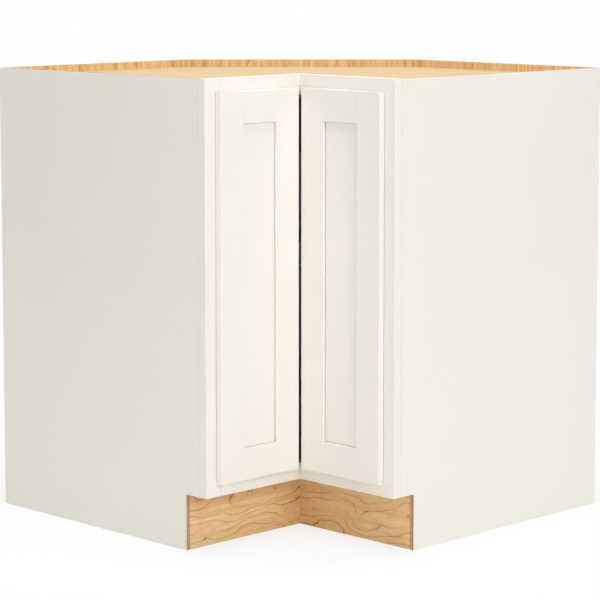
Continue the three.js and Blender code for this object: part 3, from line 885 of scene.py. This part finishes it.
# Axes for something whose own Z points along the given direction.
def facingAxes(direction):
    z = np.asarray(direction, float)
    x = np.cross(up, z) if abs(z[2]) < 0.9 else along
    x = x / np.linalg.norm(x)
    return np.stack([x, np.cross(z, x), z], -1)


def addScrews(name, places, body, finish="zincPlate", scale=1.0):
    head = screwHead(scale)
    parts = [(head, facingAxes(direction), np.asarray(place)) for place, direction in places]
    addPiece(name, gathered(parts), finish, body)


cornerSteps = 8  # points round each corner of an outline


# Round-cornered outline of a plate, as points of its plan.
def roundedOutline(width, height, corner):
    x, y = width / 2 - corner, height / 2 - corner
    corners = [((x, -y), -90), ((x, y), 0), ((-x, y), 90), ((-x, -y), 180)]
    return np.vstack([arc(centre, corner, start, start + 90, cornerSteps) for centre, start in corners])


# An outline drawn in towards the origin.
def drawnIn(outline, reach):
    return outline * (1 - reach / np.linalg.norm(outline, axis=1, keepdims=True))


# Outlines at their heights, as rings of points.
def stacked(layers):
    return np.array([np.column_stack([ring, np.full(len(ring), z)]) for ring, z in layers])


# A flat form of the given outline with a small round on both faces' rims.
def plateForm(outline, thick, ease):
    inner = drawnIn(outline, ease)
    return lofted(stacked([(inner, 0), (outline, ease), (outline, thick - ease), (inner, thick)]))


hinge = {
    "cupRadius": 17.5, "cupWall": 1.0, "bowlRound": 2.0, "mouthRound": 0.3, "mouthLip": 0.4,  # mm
    "flangeThickness": 0.7, "flangeCorner": 9.0, "flangeEase": 0.25, "flangeLap": 0.2,
    "cheek": (13.0, 6.6, 2.6, 1.2),  # the links in the cup: long, deep, corner, thick
    "cheekSpread": 6.0, "cheekPlace": (7.0, -6.0), "cheekEase": 0.2,
    "pinPlace": (5.8, -9.5), "pinRadius": 1.7, "pinPast": 1.2, "pinEase": 0.3,
    "steps": 64, "pinSteps": 24,
    "cupScrewRise": 24.0, "cupScrewScale": 0.85,
    "armScrewRise": 15.0, "armScrewPlace": (6.0, 1.6), "armScrewScale": 0.9,
    "leafScrews": ((9.0, 11.0), (22.0, 30.0), (9.0, 49.0)),  # from the door's edge and the leaf's foot
    "leafFace": 1.8, "leafScrewScale": 0.8,
    "plateScrewReach": 25, "plateThickness": 3,
}


# A pressed bowl with a lip at its mouth, as a closed loop of radius and depth.
def cupLoop(deep):
    outer, wall, corner = hinge["cupRadius"], hinge["cupWall"], hinge["bowlRound"]
    bore, mouth, thick = outer - wall, hinge["mouthRound"], hinge["flangeThickness"]
    lip = outer + hinge["mouthLip"]
    return np.vstack([
        [(0, deep), (0, deep - wall)],
        arc((bore - corner, deep - wall - corner), corner, 90, 0),
        [(bore, mouth), (bore + mouth, 0), (lip, 0), (lip, thick), (outer, thick)],
        arc((outer - corner, deep - corner), corner, 0, 90),
    ])


# The cup's flange: a round-cornered plate with a round hole, eased on the side that shows.
def cupFlange(width, height):
    outer = roundedOutline(width, height, hinge["flangeCorner"])
    angle = np.arctan2(outer[:, 1], outer[:, 0])
    hole = np.stack([np.cos(angle), np.sin(angle)], -1) * (hinge["cupRadius"] - hinge["flangeLap"])
    ease, thick = hinge["flangeEase"], hinge["flangeThickness"]
    layers = [(hole, 0), (drawnIn(outer, ease), 0), (outer, ease), (outer, thick), (hole, thick)]
    rings = stacked(layers)
    return rings.reshape(-1, 3), ringFaces(*rings.shape[:2], closedStack=True).tolist()


# The links' two cheeks and their cross pin, all within the bowl.
def cupLinks(origin):
    length, depth, corner, thick = hinge["cheek"]
    cheek = plateForm(roundedOutline(length, depth, corner), thick, hinge["cheekEase"])
    deepIn, aside = hinge["cheekPlace"]
    swapped = straight[:, [1, 0, 2]]
    parts = []
    for rise in (-hinge["cheekSpread"], hinge["cheekSpread"]):
        parts.append((cheek, swapped, origin + [deepIn, aside, rise - thick / 2]))
    deepIn, aside = hinge["pinPlace"]
    span = 2 * (hinge["cheekSpread"] + hinge["pinPast"])
    pinOutline = arc((0, 0), hinge["pinRadius"], 0, 360 - 360 / hinge["pinSteps"], hinge["pinSteps"])
    pin = plateForm(pinOutline, span, hinge["pinEase"])
    parts.append((pin, straight, origin + [deepIn, aside, -span / 2]))
    return parts


# A hinge cup with its links, open towards the cabinet. It returns the middle of the cup's mouth.
def makeCup(node):
    low, high = boxOf(node)
    deep, width, height = high - low
    origin = np.array([low[0], (low[1] + high[1]) / 2, (low[2] + high[2]) / 2])
    axes = straight[:, [1, 2, 0]]  # Z runs into the door
    bowl = turnedForm(cupLoop(deep)[::-1], hinge["steps"])
    parts = [(bowl, axes, origin), (cupFlange(width, height), axes, origin), *cupLinks(origin)]
    addPiece(node + "_finished", gathered(parts), "nickelPlate", "door_left", [node])
    return origin


def makeCupHinges():
    cupScrews, armScrews = [], []
    for end in ends:
        origin = makeCup(f"hinge_cup_{end}")
        for rise in (-hinge["cupScrewRise"], hinge["cupScrewRise"]):
            cupScrews.append((origin + [0, 0, rise], -along))
        low, high = boxOf(f"hinge_arm_{end}")
        aside, out = hinge["armScrewPlace"]
        for rise in (-hinge["armScrewRise"], hinge["armScrewRise"]):
            place = (low[0] + aside, low[1] + out, (low[2] + high[2]) / 2 + rise)
            armScrews.append((place, inward))
    addScrews("hinge_cup_screws", cupScrews, "door_left", "nickelPlate", hinge["cupScrewScale"])
    addScrews("hinge_arm_screws", armScrews, "cabinet", "nickelPlate", hinge["armScrewScale"])


def addFoldScrews():
    low, high = boxOf("door_inner_stile_right")
    for side, turn in wings.items():
        screws = []
        for end in ends:
            foot = boxOf(f"fold_leaf_right_{end}")[0][2]
            for reach, rise in hinge["leafScrews"]:
                place = np.array([low[0] + reach, high[1] + hinge["leafFace"], foot + rise])
                screws.append((turn @ place, turn @ inward))
        # The screws take the fold hinges' dark steel, painted shade in the doors' gap.
        addScrews(f"fold_leaf_screws_{side}", screws, f"door_{side}", "steelWithPaintedGapShade",
                  hinge["leafScrewScale"])


def addPivotScrews():
    reach, thick = hinge["plateScrewReach"], hinge["plateThickness"]
    screws = []
    for node, direction in (("pivot_base", 1), ("pivot_top_plate", -1)):
        low, high = boxOf(node)
        middle = (low + high) / 2
        face = low[2] + thick if direction > 0 else high[2] - thick
        for x in (-reach, reach):
            for y in (-reach, reach):
                screws.append(((middle[0] + x, middle[1] + y, face), up * direction))
    addScrews("pivot_plate_screws", screws, "cabinet")


makeCupHinges()
addFoldScrews()
addPivotScrews()
print("hinges and screws made")


hardware = {
    "zincPlate": ["pivot_base", "pivot_top_plate", "collar_lower", "collar_upper", "set_screw_lower",
                  "set_screw_upper"],
    "nickelPlate": ["hinge_arm_lower", "hinge_arm_upper"],
    # The fold pins and leaves in dark steel, painted shade in the doors' gap.
    "steelWithPaintedGapShade": ["fold_pin_lower", "fold_pin_upper", "fold_leaf_right_lower",
                       "fold_leaf_right_upper", "fold_leaf_left_lower", "fold_leaf_left_upper"],
    "clearPolyurethane": ["bumper_lower", "bumper_upper"],
}
hardwareEase = 0.2  # mm


def dressHardware():
    for finish, nodes in hardware.items():
        for node in nodes:
            mesh = easedCopy(node, hardwareEase)
            shadeSmooth(mesh)
            mesh.materials.append(finishes[finish])
            placeCopy(node, mesh)


dressHardware()
print("hardware dressed")


staple = {
    "crown": 11.0, "wire": 1.2, "proud": 0.2, "ease": 0.1,  # mm
    "cornerCut": 0.05,  # mm that the outline's corners are less than half round
    "rowSpacing": 105.0, "rowMargins": (30, 40),
    "uprightSpacing": 140.0, "uprightMargin": 40, "uprightInset": 4.7,
    "rows": (854.9, 131.4),  # heights of the deck's and the floor board's edges
    "cornerFace": 352.3,  # from the middle of the cabinet to the corner panel's outer face
    "cornerRow": (-190, -95, 0, 95, 190),
}


# Crown staples in the back panels: a row along the deck, one along the floor board, and one up each
# side panel.
def makeStaples():
    wire, proud = staple["wire"], staple["proud"]
    outline = roundedOutline(staple["crown"], wire, wire / 2 - staple["cornerCut"])
    bar = plateForm(outline, 2 * proud, staple["ease"])
    low, high = boxOf("back_panel_right")
    wall = high[1] - proud
    lay = facingAxes(inward)
    stand = lay[:, [1, 0, 2]] * [1, -1, 1]
    nearCorner, nearSide = staple["rowMargins"]
    span = np.arange(low[0] + nearCorner, high[0] - nearSide, staple["rowSpacing"])
    runs = [(x, wall, z, lay) for z in staple["rows"] for x in span]
    margin = staple["uprightMargin"]
    rise = np.arange(margin, high[2] - margin, staple["uprightSpacing"])
    runs += [(high[0] - staple["uprightInset"], wall, z, stand) for z in rise]
    parts = []
    for turn in wings.values():
        parts += [(bar, turn @ axes, turn @ np.array([x, y, z])) for x, y, z, axes in runs]

    backwards = (inward - along) / math.sqrt(2)
    sideways = (inward + along) / math.sqrt(2)
    middle = backwards * (staple["cornerFace"] - proud)
    for z in staple["rows"]:
        for offset in staple["cornerRow"]:
            parts.append((bar, facingAxes(backwards), middle + sideways * offset + up * z))
    addPiece("back_staples", gathered(parts), "zincPlate", "cabinet")


makeStaples()
print("staples driven")


studio = {
    "ambient": 0.20,  # strength of the white world as light
    "lamps": {
        "key": {"place": (4.7, -1.4, 2.7), "size": 2.6, "power": 79},
        "fill": {"place": (1.3, -4.7, 2.7), "size": 2.6, "power": 20},
        "top": {"place": (0.4, -0.4, 5.0), "size": 3.5, "power": 138},
        "near": {"place": (1.0, -1.0, 2.3), "size": 1.0, "power": 3.2},
        "low": {"place": (3.0, -3.0, 0.6), "size": 1.8, "power": 22},
        "rearLeft": {"place": (-4.6, -0.8, 2.4), "size": 2.6, "power": 85},
        "rearRight": {"place": (0.8, 4.6, 2.4), "size": 2.6, "power": 85},
    },
    "target": (0.0, 0.0, 0.45),
    "floorReach": 30,  # m
    "floorColour": "f2f2f0",
    "floorWhite": 0.78,  # how much of the floor near the cabinet is plain white to the camera
    "floorFade": (1.0, 2.4),  # m from the cabinet over which the floor turns all white
}


# Plain white to the camera, in reflections and through what is clear, and much dimmer as light.
def makeWorld():
    world = bpy.data.worlds.new("studio")
    world.use_nodes = True
    tree = world.node_tree
    tree.nodes.clear()
    rays = addNode(tree, "LightPath").outputs
    seen = calculate(tree, "MAXIMUM", rays["Is Camera Ray"], rays["Is Glossy Ray"])
    seen = calculate(tree, "MAXIMUM", seen, rays["Is Transmission Ray"])
    strength = toRange(tree, seen, studio["ambient"], 1.0)
    background = addNode(tree, "Background", {"Color": (1, 1, 1, 1), "Strength": strength})
    addNode(tree, "OutputWorld", {"Surface": background.outputs[0]})
    bpy.context.scene.world = world


# Matt to the light, and partly plain white to the camera, all white at a distance.
def makeFloorMaterial():
    material, tree = newMaterial("studioFloor")
    rays = addNode(tree, "LightPath").outputs
    away = addNode(tree, "VectorMath", {0: objectPlace(tree)}, operation="LENGTH").outputs["Value"]
    near, far = studio["floorFade"]
    plain = addNode(tree, "MapRange", {"Value": away, "From Min": near, "From Max": far,
                                       "To Min": studio["floorWhite"], "To Max": 1.0}).outputs[0]
    share = calculate(tree, "MULTIPLY", rays["Is Camera Ray"], plain)
    matte = addNode(tree, "BsdfDiffuse", {"Color": linear(studio["floorColour"])})
    white = addNode(tree, "Emission", {"Color": (1, 1, 1, 1), "Strength": 1.0})
    mixed = addNode(tree, "MixShader", {0: share, 1: matte.outputs[0], 2: white.outputs[0]})
    addNode(tree, "OutputMaterial", {"Surface": mixed.outputs[0]})
    return material


def makeFloor():
    mesh = bpy.data.meshes.new("floor")
    reach = studio["floorReach"]
    corners = [(-reach, -reach, 0), (reach, -reach, 0), (reach, reach, 0), (-reach, reach, 0)]
    mesh.from_pydata(corners, [], [(0, 1, 2, 3)])
    mesh.materials.append(makeFloorMaterial())
    floor = bpy.data.objects.new("floor", mesh)
    bpy.context.scene.collection.objects.link(floor)


def makeLamps():
    for name, lamp in studio["lamps"].items():
        data = bpy.data.lights.new(name, "AREA")
        data.shape = "DISK"
        data.size = lamp["size"]
        data.energy = lamp["power"]
        placed = bpy.data.objects.new(name, data)
        bpy.context.scene.collection.objects.link(placed)
        away = np.array(lamp["place"]) - studio["target"]
        placed.location = lamp["place"]
        across = math.atan2(away[1], away[0])
        tilt = math.atan2(math.hypot(away[0], away[1]), away[2])
        placed.rotation_euler = (0, tilt, across)


makeWorld()
makeFloor()
makeLamps()
bpy.context.scene.view_settings.view_transform = "Standard"
print("studio made")
